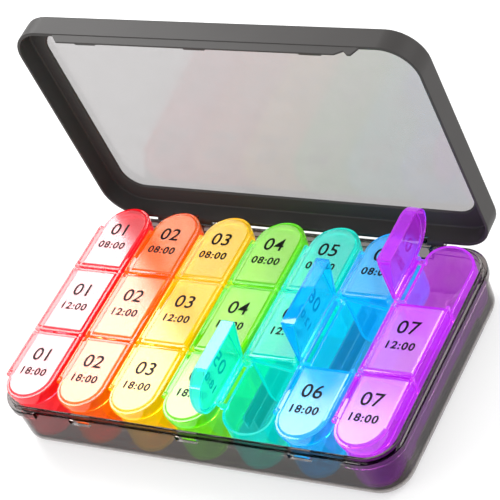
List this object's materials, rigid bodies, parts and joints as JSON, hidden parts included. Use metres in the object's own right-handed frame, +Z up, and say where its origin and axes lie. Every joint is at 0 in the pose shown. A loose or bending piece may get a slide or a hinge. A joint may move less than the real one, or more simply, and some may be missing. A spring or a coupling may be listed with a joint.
{
  "type": "weekly pill box",
  "caption": "Weekly pill box: coloured lift-out day boxes with small hinged lids, in a smoke tray under a large hinged lid with a clear window.",
  "frame": {"origin": "middle of the tray's flat underside", "axes": "+Z up, +X along the row of days, +Y towards the large lid's hinge"},
  "size_m": [0.2012, 0.1317, 0.1471],
  "materials": {
    "smoke": "glossy",
    "dark_grey": "satin",
    "clear": "glossy",
    "pin_steel": "satin",
    "red": "glossy",
    "orange": "glossy",
    "yellow": "glossy",
    "green": "glossy",
    "turquoise": "glossy",
    "blue": "glossy",
    "violet": "glossy"
  },
  "bodies": {
    "tray": {"tray": "smoke"},
    "hinge_pins": {"left_hinge_pin": "pin_steel", "right_hinge_pin": "pin_steel"},
    "case_lid": {"case_lid_frame": "dark_grey", "case_lid_window": "clear"},
    "day_1_box": {"day_1_box": "red"},
    "day_1_evening_lid": {"day_1_evening_lid": "red"},
    "day_1_noon_lid": {"day_1_noon_lid": "red"},
    "day_1_morning_lid": {"day_1_morning_lid": "red"},
    "day_2_box": {"day_2_box": "orange"},
    "day_2_evening_lid": {"day_2_evening_lid": "orange"},
    "day_2_noon_lid": {"day_2_noon_lid": "orange"},
    "day_2_morning_lid": {"day_2_morning_lid": "orange"},
    "day_3_box": {"day_3_box": "yellow"},
    "day_3_evening_lid": {"day_3_evening_lid": "yellow"},
    "day_3_noon_lid": {"day_3_noon_lid": "yellow"},
    "day_3_morning_lid": {"day_3_morning_lid": "yellow"},
    "day_4_box": {"day_4_box": "green"},
    "day_4_evening_lid": {"day_4_evening_lid": "green"},
    "day_4_noon_lid": {"day_4_noon_lid": "green"},
    "day_4_morning_lid": {"day_4_morning_lid": "green"},
    "day_5_box": {"day_5_box": "turquoise"},
    "day_5_evening_lid": {"day_5_evening_lid": "turquoise"},
    "day_5_noon_lid": {"day_5_noon_lid": "turquoise"},
    "day_5_morning_lid": {"day_5_morning_lid": "turquoise"},
    "day_6_box": {"day_6_box": "blue"},
    "day_6_evening_lid": {"day_6_evening_lid": "blue"},
    "day_6_noon_lid": {"day_6_noon_lid": "blue"},
    "day_6_morning_lid": {"day_6_morning_lid": "blue"},
    "day_7_box": {"day_7_box": "violet"},
    "day_7_evening_lid": {"day_7_evening_lid": "violet"},
    "day_7_noon_lid": {"day_7_noon_lid": "violet"},
    "day_7_morning_lid": {"day_7_morning_lid": "violet"}
  },
  "joints": [
    {"name": "case_pins_turn", "type": "hinge", "parent": "tray", "child": "hinge_pins", "pos_m": [0, 0.0609, 0.0254], "axis": [-1, 0, 0], "range_deg": [-61, 0]},
    {"name": "case_lid_swing", "type": "hinge", "parent": "hinge_pins", "child": "case_lid", "pos_m": [0, 0.0609, 0.0254], "axis": [-1, 0, 0], "range_deg": [-26, 0]},
    {"name": "day_1_box_lift", "type": "slide", "parent": "tray", "child": "day_1_box", "axis": [0, 0, 1], "range_m": [0, 0.036]},
    {"name": "day_1_evening_lid_swing", "type": "hinge", "parent": "day_1_box", "child": "day_1_evening_lid", "pos_m": [-0.0976, 0, 0.0314], "axis": [0, -1, 0], "range_deg": [0, 90]},
    {"name": "day_1_noon_lid_swing", "type": "hinge", "parent": "day_1_box", "child": "day_1_noon_lid", "pos_m": [-0.0976, 0, 0.0314], "axis": [0, -1, 0], "range_deg": [0, 90]},
    {"name": "day_1_morning_lid_swing", "type": "hinge", "parent": "day_1_box", "child": "day_1_morning_lid", "pos_m": [-0.0976, 0, 0.0314], "axis": [0, -1, 0], "range_deg": [0, 90]},
    {"name": "day_2_box_lift", "type": "slide", "parent": "tray", "child": "day_2_box", "axis": [0, 0, 1], "range_m": [0, 0.036]},
    {"name": "day_2_evening_lid_swing", "type": "hinge", "parent": "day_2_box", "child": "day_2_evening_lid", "pos_m": [-0.0696, 0, 0.0314], "axis": [0, -1, 0], "range_deg": [0, 90]},
    {"name": "day_2_noon_lid_swing", "type": "hinge", "parent": "day_2_box", "child": "day_2_noon_lid", "pos_m": [-0.0696, 0, 0.0314], "axis": [0, -1, 0], "range_deg": [0, 90]},
    {"name": "day_2_morning_lid_swing", "type": "hinge", "parent": "day_2_box", "child": "day_2_morning_lid", "pos_m": [-0.0696, 0, 0.0314], "axis": [0, -1, 0], "range_deg": [0, 90]},
    {"name": "day_3_box_lift", "type": "slide", "parent": "tray", "child": "day_3_box", "axis": [0, 0, 1], "range_m": [0, 0.036]},
    {"name": "day_3_evening_lid_swing", "type": "hinge", "parent": "day_3_box", "child": "day_3_evening_lid", "pos_m": [-0.0416, 0, 0.0314], "axis": [0, -1, 0], "range_deg": [0, 90]},
    {"name": "day_3_noon_lid_swing", "type": "hinge", "parent": "day_3_box", "child": "day_3_noon_lid", "pos_m": [-0.0416, 0, 0.0314], "axis": [0, -1, 0], "range_deg": [0, 90]},
    {"name": "day_3_morning_lid_swing", "type": "hinge", "parent": "day_3_box", "child": "day_3_morning_lid", "pos_m": [-0.0416, 0, 0.0314], "axis": [0, -1, 0], "range_deg": [0, 90]},
    {"name": "day_4_box_lift", "type": "slide", "parent": "tray", "child": "day_4_box", "axis": [0, 0, 1], "range_m": [0, 0.036]},
    {"name": "day_4_evening_lid_swing", "type": "hinge", "parent": "day_4_box", "child": "day_4_evening_lid", "pos_m": [-0.0136, 0, 0.0314], "axis": [0, -1, 0], "range_deg": [0, 90]},
    {"name": "day_4_noon_lid_swing", "type": "hinge", "parent": "day_4_box", "child": "day_4_noon_lid", "pos_m": [-0.0136, 0, 0.0314], "axis": [0, -1, 0], "range_deg": [0, 90]},
    {"name": "day_4_morning_lid_swing", "type": "hinge", "parent": "day_4_box", "child": "day_4_morning_lid", "pos_m": [-0.0136, 0, 0.0314], "axis": [0, -1, 0], "range_deg": [0, 90]},
    {"name": "day_5_box_lift", "type": "slide", "parent": "tray", "child": "day_5_box", "axis": [0, 0, 1], "range_m": [0, 0.036]},
    {"name": "day_5_evening_lid_swing", "type": "hinge", "parent": "day_5_box", "child": "day_5_evening_lid", "pos_m": [0.0144, 0, 0.0314], "axis": [0, -1, 0], "range_deg": [-90, 0]},
    {"name": "day_5_noon_lid_swing", "type": "hinge", "parent": "day_5_box", "child": "day_5_noon_lid", "pos_m": [0.0144, 0, 0.0314], "axis": [0, -1, 0], "range_deg": [0, 90]},
    {"name": "day_5_morning_lid_swing", "type": "hinge", "parent": "day_5_box", "child": "day_5_morning_lid", "pos_m": [0.0144, 0, 0.0314], "axis": [0, -1, 0], "range_deg": [0, 90]},
    {"name": "day_6_box_lift", "type": "slide", "parent": "tray", "child": "day_6_box", "axis": [0, 0, 1], "range_m": [0, 0.036]},
    {"name": "day_6_evening_lid_swing", "type": "hinge", "parent": "day_6_box", "child": "day_6_evening_lid", "pos_m": [0.0424, 0, 0.0314], "axis": [0, -1, 0], "range_deg": [0, 90]},
    {"name": "day_6_noon_lid_swing", "type": "hinge", "parent": "day_6_box", "child": "day_6_noon_lid", "pos_m": [0.0424, 0, 0.0314], "axis": [0, -1, 0], "range_deg": [-90, 0]},
    {"name": "day_6_morning_lid_swing", "type": "hinge", "parent": "day_6_box", "child": "day_6_morning_lid", "pos_m": [0.0424, 0, 0.0314], "axis": [0, -1, 0], "range_deg": [0, 90]},
    {"name": "day_7_box_lift", "type": "slide", "parent": "tray", "child": "day_7_box", "axis": [0, 0, 1], "range_m": [0, 0.036]},
    {"name": "day_7_evening_lid_swing", "type": "hinge", "parent": "day_7_box", "child": "day_7_evening_lid", "pos_m": [0.0704, 0, 0.0314], "axis": [0, -1, 0], "range_deg": [0, 90]},
    {"name": "day_7_noon_lid_swing", "type": "hinge", "parent": "day_7_box", "child": "day_7_noon_lid", "pos_m": [0.0704, 0, 0.0314], "axis": [0, -1, 0], "range_deg": [0, 90]},
    {"name": "day_7_morning_lid_swing", "type": "hinge", "parent": "day_7_box", "child": "day_7_morning_lid", "pos_m": [0.0704, 0, 0.0314], "axis": [0, -1, 0], "range_deg": [-90, 0]}
  ],
  "couplings": [
    {"joint": "day_5_evening_lid_swing", "follows": "case_pins_turn", "ratio": 1.4754},
    {"joint": "day_6_noon_lid_swing", "follows": "case_pins_turn", "ratio": 1.4754},
    {"joint": "day_7_morning_lid_swing", "follows": "case_pins_turn", "ratio": 1.4754}
  ]
}
